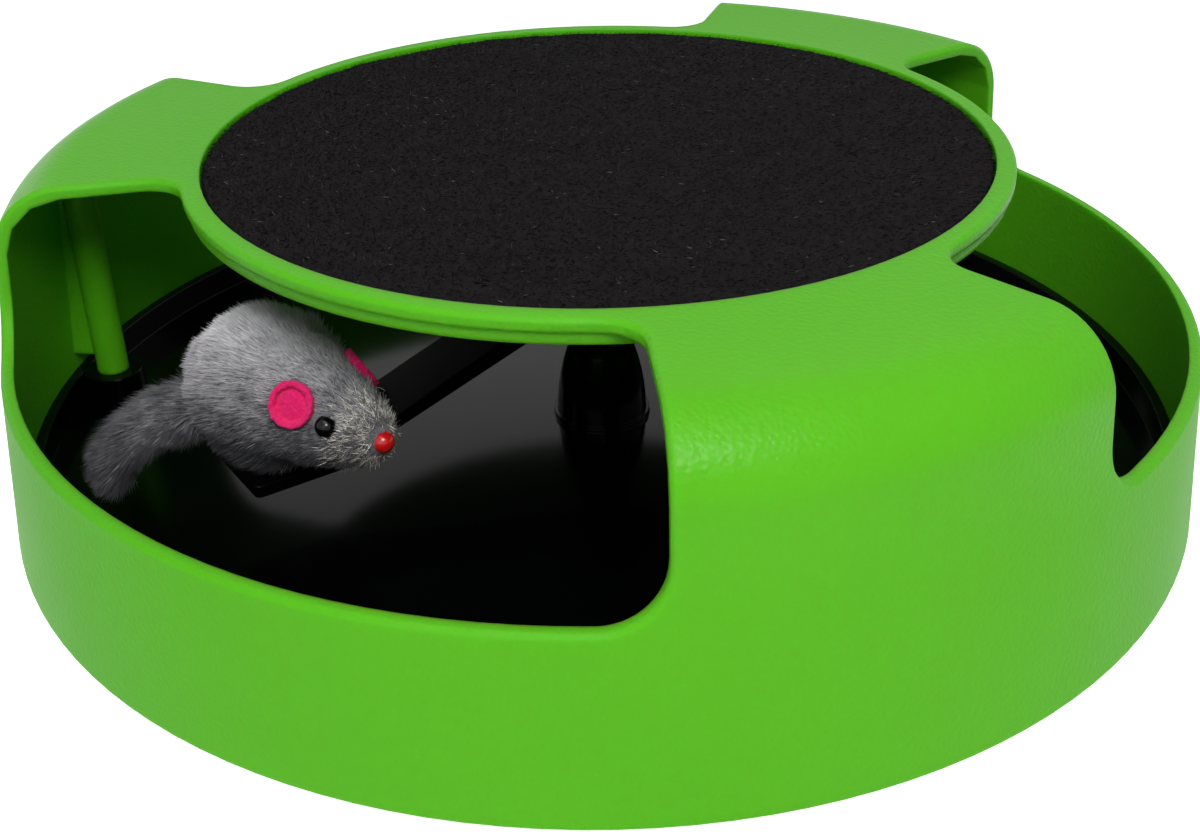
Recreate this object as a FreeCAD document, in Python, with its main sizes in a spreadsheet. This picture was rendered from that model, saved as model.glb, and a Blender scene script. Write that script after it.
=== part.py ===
import FreeCAD, Part
import math
import os
import re

import Sketcher

Vector = FreeCAD.Vector
Placement = FreeCAD.Placement
Rotation = FreeCAD.Rotation
Z_AXIS = Vector(0, 0, 1)

doc = FreeCAD.newDocument("cat_scratcher_toy")
sheet = doc.addObject("Spreadsheet::Sheet", "sheet")

# Driving dimensions in millimetres and degrees, and a few counts
SIZES = {
    "arm_count": 3,
    "arm_span": 38,
    "arm_azimuth": 90,
    "cover_radius": 125,
    "cover_height": 66.5,
    "cover_foot": 0.5,
    "cover_draft": 6.0,
    "cover_wall": 2.4,
    "shoulder_radius": 14,
    "sill_height": 35,
    "sill_corner": 11,
    "window_blend": 8,
    "edge_bevel": 0.7,
    "window_depth": 42.2,
    "ring_width": 3.8,
    "pad_recess_depth": 3.3,
    "dish_floor": 1.5,
    "skirt_step": 0.7,
    "pad_thickness": 2.7,
    "pad_gap": 0.3,
    "adhesive_thickness": 0.4,
    "adhesive_margin": 3,
    "post_inset": 12,
    "post_radius": 3.5,
    "post_bore_depth": 16,
    "web_thickness": 1.8,
    "web_foot": 12.5,
    "tray_underside": 0.8,
    "tray_floor": 1.8,
    "tray_rim_height": 8.6,
    "tray_rim_wall": 2.2,
    "tray_gap": 0.3,
    "boss_radius": 6.5,
    "screw_radius": 1.4,
    "screw_head_radius": 3,
    "screw_head_height": 2,
    "screw_length": 15,
    "screw_recess": 2.6,
    "screw_slot_length": 4.2,
    "screw_slot_width": 0.7,
    "screw_slot_depth": 1,
    "hole_clearance": 0.3,
    "thread_clearance": 0.05,
    "foot_inset": 27,
    "foot_radius": 7.5,
    "foot_recess": 0.7,
    "pillar_radius": 9.9,
    "pillar_flange": 10.6,
    "pillar_flange_height": 1.2,
    "pillar_waist_radius": 7.2,
    "pillar_waist_z": 19.3,
    "pillar_curve": 45,
    "pillar_top_radius": 4.3,
    "pillar_top_z": 34,
    "pillar_wall": 2,
    "pillar_core_z": 19,
    "pin_radius": 2,
    "pin_seat": 11,
    "pin_groove": 0.5,
    "pin_tip": 1.4,
    "washer_radius": 4.2,
    "washer_thickness": 0.8,
    "clip_radius": 4,
    "clip_thickness": 0.6,
    "running_clearance": 0.05,
    "end_play": 0.1,
    "bush_wall": 1.5,
    "bush_flange": 5.2,
    "bush_flange_thickness": 0.8,
    "hub_radius": 8,
    "hub_height": 12,
    "cap_wall": 1.3,
    "cap_height": 4.5,
    "cap_spigot": 2,
    "cap_seat_radius": 6,
    "rest_angle": 251,
    "arm_half_width": 6.8,
    "arm_depth": 5,
    "arm_wall": 1.7,
    "arm_lift": 1.5,
    "seat_z": 19,
    "seat_thickness": 2.5,
    "seat_inner": 12,
    "seat_outer": 8,
    "seat_half_width": 9,
    "seat_corner": 1.2,
    "counter_reach": 46,
    "counter_half_width": 5,
    "counter_depth": 5,
    "cup_radius": 9.5,
    "cup_height": 11,
    "cup_wall": 1.6,
    "weight_height": 6,
    "weight_gap": 0.15,
    "lid_thickness": 1.6,
    "mouse_inset": 48,
    "mouse_turn": 107,
    "mouse_length": 46,
    "mouse_height": 33,
    "plug_radius": 4.5,
    "plug_height": 9,
    "mouse_screw_length": 9.5,
    "ear_radius": 4.3,
    "ear_rim": 1.1,
    "ear_thickness": 1.8,
    "eye_radius": 2.1,
    "nose_radius": 2.1,
    "bead_gap": 0.05,
    "bead_bands": 6,
    "bead_sides": 14,
    "form_sides": 20,
    "form_sections": 9,
    "tail_reach": 19,
    "tail_drop": 13,
    "tail_turn": 238,
    "tail_width": 13.5,
    "tail_thickness": 5.5,
    "cut_margin": 10,
}

# Radii about the spindle, worked out from the sizes
PLACES = {
    "ring_radius": "cover_radius - window_depth",
    "pad_recess_radius": "ring_radius - ring_width",
    "post_circle": "cover_radius - post_inset",
    "foot_circle": "cover_radius - foot_inset",
    "mouse_radius": "cover_radius - mouse_inset",
    "seat_start": "mouse_radius - seat_inner",
    "seat_end": "mouse_radius + seat_outer",
}

CELLS = {alias: "sheet." + alias for alias in SIZES}
for row, (alias, size) in enumerate(SIZES.items(), start=1):
    sheet.set(f"A{row}", alias)
    sheet.set(f"B{row}", str(size))
    sheet.setAlias(f"B{row}", alias)
doc.recompute()


def bind(text):
    """An expression in size names, written as references to the sheet's cells."""
    return re.sub("[a-z_]+", lambda word: CELLS.get(word[0], word[0]), text)


for place, formula in PLACES.items():
    CELLS[place] = f"({bind(formula)})"


def number(text):
    """The present value of such an expression."""
    return float(sheet.evalExpression(bind(text)))


def turned_about_spindle(obj, turn):
    """Turns a whole sub-part about the spindle by an expression in degrees."""
    obj.Placement = Placement(Vector(), Rotation(Z_AXIS, number(turn)))
    obj.setExpression("Placement.Rotation.Angle", bind(f"({turn}) * 1 deg"))


def new_body(name, turn=None):
    body = doc.addObject("PartDesign::Body", name)
    body.Label = name
    if turn:
        turned_about_spindle(body, turn)
    return body


def origin_feature(body, role):
    return next(item for item in body.Origin.OriginFeatures if item.Role == role)


def new_sketch(body, name, role, height=None, turn=None):
    """A sketch on one of the body's own planes, lifted and turned by expressions."""
    sketch = body.newObject("Sketcher::SketchObject", name)
    sketch.AttachmentSupport = [(origin_feature(body, role), "")]
    sketch.MapMode = "FlatFace"
    lift = number(height) if height else 0
    angle = number(turn) if turn else 0
    sketch.AttachmentOffset = Placement(Vector(0, 0, lift), Rotation(Z_AXIS, angle))
    if height:
        sketch.setExpression("AttachmentOffset.Base.z", bind(height))
    if turn:
        sketch.setExpression("AttachmentOffset.Rotation.Angle", bind(f"({turn}) * 1 deg"))
    return sketch


def hold_point(sketch, edge, end, across, up):
    """Holds one end of an edge at a bound place."""
    for kind, text in (("DistanceX", across), ("DistanceY", up)):
        held = sketch.addConstraint(Sketcher.Constraint(kind, -1, 1, edge, end, number(text)))
        sketch.setExpression(f"Constraints[{held}]", bind(text))


def hold_radius(sketch, edge, radius):
    held = sketch.addConstraint(Sketcher.Constraint("Radius", edge, number(radius)))
    sketch.setExpression(f"Constraints[{held}]", bind(radius))


def minor_arc(start, end, radius, side):
    """An arc under a half circle; side 1 turns left on the way and -1 turns right."""
    chord = end - start
    left = Vector(-chord.y, chord.x, 0).normalize()
    sagitta = radius - math.sqrt(max(radius ** 2 - (chord.Length / 2) ** 2, 0))
    return Part.Arc(start, (start + end) * 0.5 - left * sagitta * side, end)


def draw_outline(sketch, points):
    """A closed outline of (across, up) points, with (radius, side) added where an arc arrives."""
    places = [Vector(number(point[0]), number(point[1]), 0) for point in points]
    for index, point in enumerate(points):
        start, end = places[index - 1], places[index]
        curve = Part.LineSegment(start, end)
        if len(point) == 4:
            curve = minor_arc(start, end, number(point[2]), point[3])
        sketch.addGeometry(curve, False)
    # An arc keeps its ends in counter-clockwise order, so a right-hand one is reversed
    ends = [(2, 1) if len(point) == 4 and point[3] < 0 else (1, 2) for point in points]
    for index, point in enumerate(points):
        following = (index + 1) % len(points)
        sketch.addConstraint(Sketcher.Constraint(
            "Coincident", index, ends[index][1], following, ends[following][0]))
        hold_point(sketch, index, ends[index][1], point[0], point[1])
        if len(point) == 4:
            hold_radius(sketch, index, point[2])
    return sketch


def draw_circle(sketch, across, up, radius):
    """A circle with a bound centre and radius."""
    centre = Vector(number(across), number(up), 0)
    index = sketch.addGeometry(Part.Circle(centre, Z_AXIS, number(radius)), False)
    hold_point(sketch, index, 3, across, up)
    hold_radius(sketch, index, radius)
    return sketch


def revolve(body, name, points, kind="PartDesign::Revolution"):
    """A turned shape, or a turned cut, from an outline of (radius, height) points."""
    sketch = draw_outline(new_sketch(body, name + "_outline", "XZ_Plane"), points)
    feature = body.newObject(kind, name)
    feature.Profile = sketch
    feature.ReferenceAxis = (sketch, ["V_Axis"])
    feature.Angle = 360
    return feature


def extrude(body, name, sketch, length, kind="PartDesign::Pad", both=False, back=False):
    """A pad or pocket of a bound length; both runs it to each side, back turns it round."""
    feature = body.newObject(kind, name)
    feature.Profile = sketch
    feature.SideType = "Symmetric" if both else "One side"
    feature.Length = number(length)
    feature.setExpression("Length", bind(length))
    feature.Reversed = back
    return feature


def around(body, name, features):
    """Repeats features once for each arm of the cover."""
    pattern = body.newObject("PartDesign::PolarPattern", name)
    pattern.Originals = features
    pattern.Axis = (origin_feature(body, "Z_Axis"), [""])
    pattern.Angle = 360
    pattern.Occurrences = int(number("arm_count"))
    pattern.setExpression("Occurrences", bind("arm_count"))
    body.Tip = pattern
    return pattern


def dress_edges(body, name, base, chosen, size, kind="PartDesign::Fillet"):
    """Rounds or bevels those edges of a feature that a test picks."""
    doc.recompute()
    names = [f"Edge{i}" for i, edge in enumerate(base.Shape.Edges, start=1) if chosen(edge)]
    feature = body.newObject(kind, name)
    feature.Base = (base, names)
    driven = "Radius" if kind == "PartDesign::Fillet" else "Size"
    setattr(feature, driven, number(size))
    feature.setExpression(driven, bind(size))
    return feature


def middle_of(edge):
    """An edge's middle as (distance from the spindle, height)."""
    point = edge.valueAt((edge.FirstParameter + edge.LastParameter) / 2)
    return math.hypot(point.x, point.y), point.z


def near(value, text):
    return abs(value - number(text)) < 0.01


# Places that several sub-parts share, in size names
lean = "cos(cover_draft)"
rise = "sin(cover_draft)"
shoulder_z = "(cover_height - shoulder_radius)"
tangent_z = f"({shoulder_z} + shoulder_radius * {rise})"
shoulder_r = (f"(cover_radius - ({tangent_z} - cover_foot) * tan(cover_draft)"
              f" - shoulder_radius * {lean})")
window_turn = "180 / arm_count"
tray_top = "(tray_underside + tray_floor)"
dish_top = "(cover_height - pad_recess_depth)"
dish_base = f"({dish_top} - dish_floor)"
hub_foot = "(pillar_top_z + washer_thickness + end_play)"
hub_top = f"({hub_foot} + hub_height)"
pin_foot = "(pillar_top_z - pin_seat)"
clip_z = f"({hub_top} + end_play)"
head_seat = "(tray_underside + screw_recess)"


def skin(depth):
    """Foot, shoulder start and crown of the cover's skin at a depth below its outer face."""
    radius = f"(shoulder_radius - {depth})"
    foot = (f"cover_radius - {depth} / {lean}", "cover_foot")
    side = (f"{shoulder_r} + {radius} * {lean}", f"{shoulder_z} + {radius} * {rise}")
    crown = (shoulder_r, f"cover_height - {depth}", radius, 1)
    return foot, side, crown


def skin_radius(height):
    """Radius of the wall's inner face at a height."""
    return f"(cover_radius - cover_wall / {lean} - ({height} - cover_foot) * tan(cover_draft))"


def make_cover():
    """Green cover: drafted wall, rounded shoulder, pad dish, webbed posts, three paw windows."""
    body = new_body("cover_shell", "arm_azimuth")
    post = extrude(body, "post", draw_circle(
        new_sketch(body, "post_circle_outline", "XY_Plane", "tray_rim_height"),
        "post_circle", "0", "post_radius"), "cover_height - tray_rim_height")
    web = extrude(body, "web", draw_outline(
        new_sketch(body, "web_outline", "XY_Plane", "web_foot"), [
            ("post_circle", "0 - web_thickness / 2"),
            ("cover_radius", "0 - web_thickness / 2"),
            ("cover_radius", "web_thickness / 2"),
            ("post_circle", "web_thickness / 2"),
        ]), "cover_height - web_foot")
    around(body, "posts", [post, web])
    # Posts and webs are trimmed inside the skin before the skin joins them
    foot, side, crown = skin("cover_wall / 2")
    revolve(body, "trim", [
        (foot[0], "0"), ("cover_radius + cut_margin", "0"),
        ("cover_radius + cut_margin", "cover_height + cut_margin"),
        ("0", "cover_height + cut_margin"), ("0", crown[1]), crown[:2],
        (side[0], side[1], crown[2], -1), foot,
    ], "PartDesign::Groove")
    outer_foot, outer_side, outer_crown = skin("0")
    inner_foot, inner_side, inner_crown = skin("cover_wall")
    # Inside, the shoulder is three flat-sided bands
    turns = [f"(cover_draft + (90 - cover_draft) * {band} / 3)" for band in (2, 1)]
    inner_knees = [(f"{shoulder_r} + {inner_crown[2]} * cos({turn})",
                    f"{shoulder_z} + {inner_crown[2]} * sin({turn})") for turn in turns]
    revolve(body, "skin", [
        inner_foot, outer_foot, outer_side, outer_crown,
        ("pad_recess_radius", "cover_height"), ("pad_recess_radius", dish_top), ("0", dish_top),
        ("0", dish_base), ("ring_radius - skirt_step", dish_base),
        ("ring_radius - skirt_step", inner_crown[1]), inner_crown[:2], *inner_knees, inner_side,
    ])
    bore = draw_circle(new_sketch(body, "bore_circle", "XY_Plane", "tray_rim_height"),
                       "post_circle", "0", "screw_radius + thread_clearance")
    around(body, "bores", [
        extrude(body, "bore", bore, "post_bore_depth", "PartDesign::Pocket", back=True)])
    windows = cut_windows(body)
    corners = dress_edges(body, "sill_corners", windows, is_sill_corner, "sill_corner")
    dress_edges(body, "window_bevel", corners, is_window_edge, "edge_bevel",
                "PartDesign::Chamfer")


def cut_windows(body):
    """Paw windows: open through the top outside the ring and down the wall to the sill."""
    half = "(180 / arm_count - arm_span / 2)"
    blend = "(ring_radius + window_blend)"
    give = f"(asin(window_blend / {blend}) / 1 deg)"
    along = f"sqrt({blend} ^ 2 - window_blend ^ 2)"
    reach = "(cover_radius + cut_margin)"
    places = []
    for sign in ("0 - ", ""):
        ring = (f"ring_radius * cos({half} - {give})",
                f"{sign}ring_radius * sin({half} - {give})")
        side = (f"{along} * cos({half})", f"{sign}{along} * sin({half})")
        far = (f"{reach} * cos({half})", f"{sign}{reach} * sin({half})")
        places.append((ring, side, far))
    (ring_a, side_a, far_a), (ring_b, side_b, far_b) = places
    sketch = new_sketch(body, "window_outline", "XY_Plane", "sill_height", window_turn)
    window = extrude(body, "window", draw_outline(sketch, [
        (*ring_a, "window_blend", -1), (*ring_b, "ring_radius", 1), (*side_b, "window_blend", -1),
        far_b, (f"{reach} / cos({half})", "0"), far_a, side_a,
    ]), "cover_height", "PartDesign::Pocket", back=True)
    return around(body, "windows", [window])


def is_sill_corner(edge):
    """The short radial edges where a window's sides meet its sill."""
    radius, height = middle_of(edge)
    level = abs(edge.Vertexes[0].Z - edge.Vertexes[-1].Z) < 0.01
    return (near(height, "sill_height") and level and edge.Length < number("cover_wall * 2")
            and radius > number("ring_radius"))


def is_window_edge(edge):
    """Edges of a window that lie on the cover's outer face."""
    radius, height = middle_of(edge)
    if near(height, "cover_foot") or near(height, tangent_z) or near(radius, shoulder_r):
        return False
    if radius < number("ring_radius - skirt_step"):
        return False
    if radius <= number(shoulder_r):
        return near(height, "cover_height")
    if height >= number(tangent_z):
        rim = math.hypot(radius - number(shoulder_r), height - number(shoulder_z))
        return near(rim, "shoulder_radius")
    wall = number("cover_radius") - (height - number("cover_foot")) * number("tan(cover_draft)")
    return abs(radius - wall) < 0.01


def make_tray():
    """Black base tray: floor with a rim, hollow spindle pillar, screw bosses, foot recesses."""
    body = new_body("base_tray", "arm_azimuth")
    rim_outer = f"({skin_radius('tray_rim_height')} - tray_gap)"
    rim_inner = f"({rim_outer} - tray_rim_wall)"
    flange_top = f"{tray_top} + pillar_flange_height"
    revolve(body, "moulding", [
        ("pillar_radius - pillar_wall", "tray_underside"),
        (f"{skin_radius('tray_underside')} - tray_gap", "tray_underside"),
        (rim_outer, "tray_rim_height"), (rim_inner, "tray_rim_height"), (rim_inner, tray_top),
        ("pillar_flange", tray_top), ("pillar_flange", flange_top), ("pillar_radius", flange_top),
        ("pillar_waist_radius", "pillar_waist_z", "pillar_curve", 1),
        ("pillar_top_radius", "pillar_top_z"), ("0", "pillar_top_z"), ("0", "pillar_core_z"),
        ("pillar_waist_radius - pillar_wall", "pillar_core_z"),
    ])
    boss = draw_circle(new_sketch(body, "boss_circle", "XY_Plane", "tray_underside"),
                       "post_circle", "0", "boss_radius")
    around(body, "bosses", [
        extrude(body, "boss", boss, "tray_rim_height - tray_underside")])
    hole = draw_circle(new_sketch(body, "hole_circle", "XY_Plane", "tray_underside"),
                       "post_circle", "0", "screw_radius + hole_clearance")
    recess = draw_circle(new_sketch(body, "recess_circle", "XY_Plane", "tray_underside"),
                         "post_circle", "0", "screw_head_radius + hole_clearance")
    seat = draw_circle(new_sketch(body, "seat_circle", "XY_Plane", "tray_underside", window_turn),
                       "foot_circle", "0", "foot_radius + tray_gap")
    cut = "PartDesign::Pocket"
    around(body, "underside", [
        extrude(body, "hole", hole, "tray_rim_height", cut, back=True),
        extrude(body, "recess", recess, "screw_recess", cut, back=True),
        extrude(body, "seat", seat, "foot_recess", cut, back=True)])
    socket = draw_circle(new_sketch(body, "socket_circle", "XY_Plane", "pillar_top_z"),
                         "0", "0", "pin_radius + thread_clearance")
    extrude(body, "socket", socket, "pin_seat", cut)


def make_feet():
    """Rubber feet, one under each window, seated in the tray's recesses."""
    body = new_body("rubber_feet", "arm_azimuth")
    disc = draw_circle(new_sketch(body, "foot_outline", "XY_Plane", None, window_turn),
                       "foot_circle", "0", "foot_radius")
    around(body, "feet", [extrude(body, "foot", disc, "tray_underside + foot_recess")])


def make_cover_screws():
    """Screws up through the tray's bosses into the cover's posts."""
    body = new_body("cover_screws", "arm_azimuth")
    head = draw_circle(new_sketch(body, "head_outline", "XY_Plane", f"{head_seat} - screw_head_height"),
                       "post_circle", "0", "screw_head_radius")
    shank = draw_circle(new_sketch(body, "shank_outline", "XY_Plane", head_seat),
                        "post_circle", "0", "screw_radius")
    slot = draw_outline(new_sketch(body, "slot_outline", "XY_Plane",
                                   f"{head_seat} - screw_head_height"), [
        ("post_circle - screw_slot_length / 2", "0 - screw_slot_width / 2"),
        ("post_circle + screw_slot_length / 2", "0 - screw_slot_width / 2"),
        ("post_circle + screw_slot_length / 2", "screw_slot_width / 2"),
        ("post_circle - screw_slot_length / 2", "screw_slot_width / 2"),
    ])
    around(body, "screws", [
        extrude(body, "head", head, "screw_head_height"),
        extrude(body, "shank", shank, "screw_length"),
        extrude(body, "slot", slot, "screw_slot_depth", "PartDesign::Pocket", back=True)])


def make_pad():
    """Carpet disc in the dish, on its adhesive sheet."""
    adhesive = new_body("pad_adhesive")
    disc = draw_circle(new_sketch(adhesive, "sheet_outline", "XY_Plane", dish_top),
                       "0", "0", "pad_recess_radius - adhesive_margin")
    extrude(adhesive, "sheet_of_glue", disc, "adhesive_thickness")
    body = new_body("scratch_pad")
    foot = f"({dish_top} + adhesive_thickness)"
    edge = "(pad_recess_radius - pad_gap)"
    revolve(body, "carpet", [
        ("0", foot), (edge, foot), (edge, f"{foot} + pad_thickness - edge_bevel"),
        (f"{edge} - edge_bevel", f"{foot} + pad_thickness"),
        ("0", f"{foot} + pad_thickness"),
    ])


def make_spindle():
    """Steel pin in the pillar, the washer the rotor turns on, and the clip that keeps it."""
    body = new_body("axle_pin")
    neck = "(pin_radius - pin_groove)"
    clip_top = f"{clip_z} + clip_thickness"
    revolve(body, "turned_pin", [
        ("0", pin_foot), ("pin_radius", pin_foot), ("pin_radius", clip_z), (neck, clip_z),
        (neck, clip_top), ("pin_radius", clip_top),
        ("pin_radius", f"{clip_top} + pin_tip / 2"),
        ("pin_radius - pin_groove", f"{clip_top} + pin_tip"), ("0", f"{clip_top} + pin_tip"),
    ])
    bore = "(pin_radius + running_clearance)"
    ring(new_body("thrust_washer"), "washer", bore, "washer_radius", "pillar_top_z",
         "pillar_top_z + washer_thickness")
    ring(new_body("retaining_clip"), "clip", f"{neck} + thread_clearance", "clip_radius",
         clip_z, clip_top)
    bush = new_body("hub_bush", "rest_angle")
    outer = "(pin_radius + running_clearance + bush_wall)"
    revolve(bush, "flanged_bush", [
        (bore, hub_foot), ("bush_flange", hub_foot),
        ("bush_flange", f"{hub_foot} + bush_flange_thickness"),
        (outer, f"{hub_foot} + bush_flange_thickness"), (outer, hub_top), (bore, hub_top),
    ])


def ring(body, name, inner, outer, foot, top):
    """A plain ring between two radii and two heights."""
    return revolve(body, name, [(inner, foot), (outer, foot), (outer, top), (inner, top)])


def make_rotor():
    """Black rotor: hub, channelled mouse arm with a flat seat, and a counter-arm with its cup."""
    body = new_body("rotor_arm", "rest_angle")
    seat_foot = "(seat_z - seat_thickness)"
    arm_top = f"({hub_foot} + arm_lift + arm_depth)"
    side = new_sketch(body, "arm_side", "XZ_Plane")
    extrude(body, "arm", draw_outline(side, [
        ("0", f"{hub_foot} + arm_lift"),
        ("seat_start", seat_foot), ("seat_end", seat_foot), ("seat_end", "seat_z"),
        ("seat_start", "seat_z"), ("0", arm_top),
    ]), "seat_half_width * 2", both=True)
    for name, sign in (("left_waist", ""), ("right_waist", "0 - ")):
        plan = draw_outline(new_sketch(body, name + "_outline", "XY_Plane"), [
            ("0", f"{sign}arm_half_width"),
            ("seat_start - arm_depth * 2", f"{sign}arm_half_width"),
            ("seat_start", f"{sign}seat_half_width"),
            ("seat_start", f"{sign}seat_half_width * 2"), ("0", f"{sign}seat_half_width * 2"),
        ])
        waist = extrude(body, name, plan, "cover_height * 2", "PartDesign::Pocket", both=True)
    dress_edges(body, "seat_corners", waist, is_seat_corner, "seat_corner")
    counter_foot = f"{hub_top} - counter_depth"
    bar = draw_outline(new_sketch(body, "counter_outline", "XY_Plane", counter_foot), [
        ("0", "0 - counter_half_width"), ("0", "counter_half_width"),
        ("0 - counter_reach", "counter_half_width"),
        ("0 - counter_reach", "0 - counter_half_width"),
    ])
    extrude(body, "counter_arm", bar, "counter_depth")
    cup = draw_circle(new_sketch(body, "cup_outline", "XY_Plane", f"{hub_top} - cup_height"),
                      "0 - counter_reach", "0", "cup_radius")
    extrude(body, "cup", cup, "cup_height")
    hub = draw_circle(new_sketch(body, "hub_outline", "XY_Plane", hub_foot),
                      "0", "0", "hub_radius")
    extrude(body, "hub", hub, "hub_height")
    cut = "PartDesign::Pocket"
    well = draw_circle(new_sketch(body, "well_outline", "XY_Plane", f"{hub_top} - cup_height"),
                       "0 - counter_reach", "0", "cup_radius - cup_wall")
    extrude(body, "well", well, "weight_height + lid_thickness", cut, back=True)
    flange = draw_circle(new_sketch(body, "flange_outline", "XY_Plane", hub_foot),
                         "0", "0", "bush_flange + thread_clearance")
    extrude(body, "flange_seat", flange, "bush_flange_thickness", cut, back=True)
    bore = draw_circle(new_sketch(body, "bore_outline", "XY_Plane", hub_foot), "0", "0",
                       "pin_radius + running_clearance + bush_wall + thread_clearance")
    extrude(body, "bush_bore", bore, "hub_height", cut, back=True)
    cap_seat = draw_circle(new_sketch(body, "cap_seat_outline", "XY_Plane", hub_top),
                           "0", "0", "cap_seat_radius")
    extrude(body, "cap_seat", cap_seat, "cap_spigot", cut)
    hole = draw_circle(new_sketch(body, "screw_outline", "XY_Plane"),
                       "mouse_radius", "0", "screw_radius + hole_clearance")
    extrude(body, "screw_hole", hole, "seat_z + cut_margin", cut, back=True)
    slope = f"({arm_top} - seat_z) / seat_start"
    channel = draw_outline(new_sketch(body, "channel_side", "XZ_Plane"), [
        ("hub_radius", "0"), ("seat_start - seat_thickness", "0"),
        ("seat_start - seat_thickness", f"seat_z - arm_wall + seat_thickness * {slope}"),
        ("hub_radius", f"{arm_top} - arm_wall - hub_radius * {slope}"),
    ])
    extrude(body, "channel", channel, "(arm_half_width - arm_wall) * 2", cut, both=True)


def is_seat_corner(edge):
    """The upright edges at the outer end of the arm's seat."""
    radius, height = middle_of(edge)
    return (near(radius, "sqrt(seat_end ^ 2 + seat_half_width ^ 2)")
            and near(height, "seat_z - seat_thickness / 2"))


def make_hub_cap():
    """Cap over the clip and the pin's tip, on a spigot in the hub's top."""
    body = new_body("hub_cap", "rest_angle")
    spigot = "(cap_seat_radius - thread_clearance)"
    top = f"({hub_top} + cap_height)"
    revolve(body, "cap", [
        (f"{spigot} - cap_wall", f"{hub_top} - cap_spigot"), (spigot, f"{hub_top} - cap_spigot"),
        (spigot, hub_top), ("hub_radius", hub_top), ("hub_radius", top), ("0", top),
        ("0", f"{top} - cap_wall"),
        (f"{spigot} - cap_wall", f"{top} - cap_wall"),
    ])


def make_counterweight():
    """Steel slug that balances the mouse, shut in the counter-arm's cup by a lid."""
    foot = f"({hub_top} - cup_height)"
    radius = "cup_radius - cup_wall - weight_gap"
    for name, start, height in (("counterweight", f"{foot} + lid_thickness", "weight_height"),
                                ("counterweight_lid", foot, "lid_thickness")):
        body = new_body(name, "rest_angle")
        disc = draw_circle(new_sketch(body, name + "_outline", "XY_Plane", start),
                           "0 - counter_reach", "0", radius)
        extrude(body, name + "_disc", disc, height)


def make_mouse_fixing():
    """Screw up through the seat, and the plug in the mouse's belly that it holds."""
    screw = new_body("mouse_screw", "rest_angle")
    seat_foot = "(seat_z - seat_thickness)"
    head = draw_circle(new_sketch(screw, "pan_outline", "XY_Plane",
                                  f"{seat_foot} - screw_head_height"),
                       "mouse_radius", "0", "screw_head_radius")
    extrude(screw, "pan_head", head, "screw_head_height")
    shank = draw_circle(new_sketch(screw, "stem_outline", "XY_Plane", seat_foot),
                        "mouse_radius", "0", "screw_radius")
    extrude(screw, "stem", shank, "mouse_screw_length")
    plug = new_body("mouse_plug", "rest_angle")
    barrel = draw_circle(new_sketch(plug, "barrel_outline", "XY_Plane", "seat_z"),
                         "mouse_radius", "0", "plug_radius")
    extrude(plug, "barrel", barrel, "plug_height")
    bore = draw_circle(new_sketch(plug, "thread_outline", "XY_Plane", "seat_z"),
                       "mouse_radius", "0", "screw_radius + thread_clearance")
    extrude(plug, "thread", bore, "mouse_screw_length", "PartDesign::Pocket", back=True)


def mouse_place():
    """Where the mouse's own frame lies: nose along its X, belly on the seat."""
    rotor = Placement(Vector(), Rotation(Z_AXIS, number("rest_angle")))
    seat = Placement(Vector(number("mouse_radius"), 0, number("seat_z")),
                     Rotation(Z_AXIS, number("mouse_turn")))
    return rotor.multiply(seat)


def oval(centre, across, upward, half_width, half_height, count="form_sides"):
    """Evenly turned points of an oval section."""
    sides = int(number(count))
    turns = [2 * math.pi * side / sides for side in range(sides)]
    return [centre + across * (half_width * math.cos(turn)) + upward * (half_height * math.sin(turn))
            for turn in turns]


def form_through(rings):
    """A closed form of flat facets through sections with as many points each."""
    faces = [Part.Face(Part.makePolygon(ring + ring[:1])) for ring in (rings[0], rings[-1])]
    for near_ring, far_ring in zip(rings, rings[1:]):
        for side, corner in enumerate(near_ring):
            before, across = near_ring[side - 1], far_ring[side - 1]
            for facet in ((before, corner, across), (across, corner, far_ring[side])):
                faces.append(Part.Face(Part.makePolygon([*facet, facet[0]])))
    return Part.Solid(Part.makeShell(faces))


def mouse_form(stations, count):
    """A round form on a smooth line through stations of (along, up, radius), as shares."""
    length, height = number("mouse_length"), number("mouse_height")
    line = Part.BSplineCurve()
    line.interpolate([Vector(*station) for station in stations])
    return form_through([
        oval(Vector(at.x * length, 0, at.y * height), Vector(0, 1, 0), Z_AXIS,
             at.z * height, at.z * height) for at in line.discretize(count)])


def bead(radius):
    """A round bead about the origin."""
    bands = int(number("bead_bands"))
    turns = [math.pi * (band + 0.5) / bands for band in range(bands)]
    return form_through([
        oval(Z_AXIS * (-radius * math.cos(turn)), Vector(1, 0, 0), Vector(0, 1, 0),
             radius * math.sin(turn), radius * math.sin(turn), "bead_sides")
        for turn in turns])


def add_form(name, shape, place):
    """A soft form or bead as a named sub-part, with its own placement."""
    form = doc.addObject("Part::Feature", name)
    form.Label = name
    form.Shape = shape
    form.Placement = place


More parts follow.
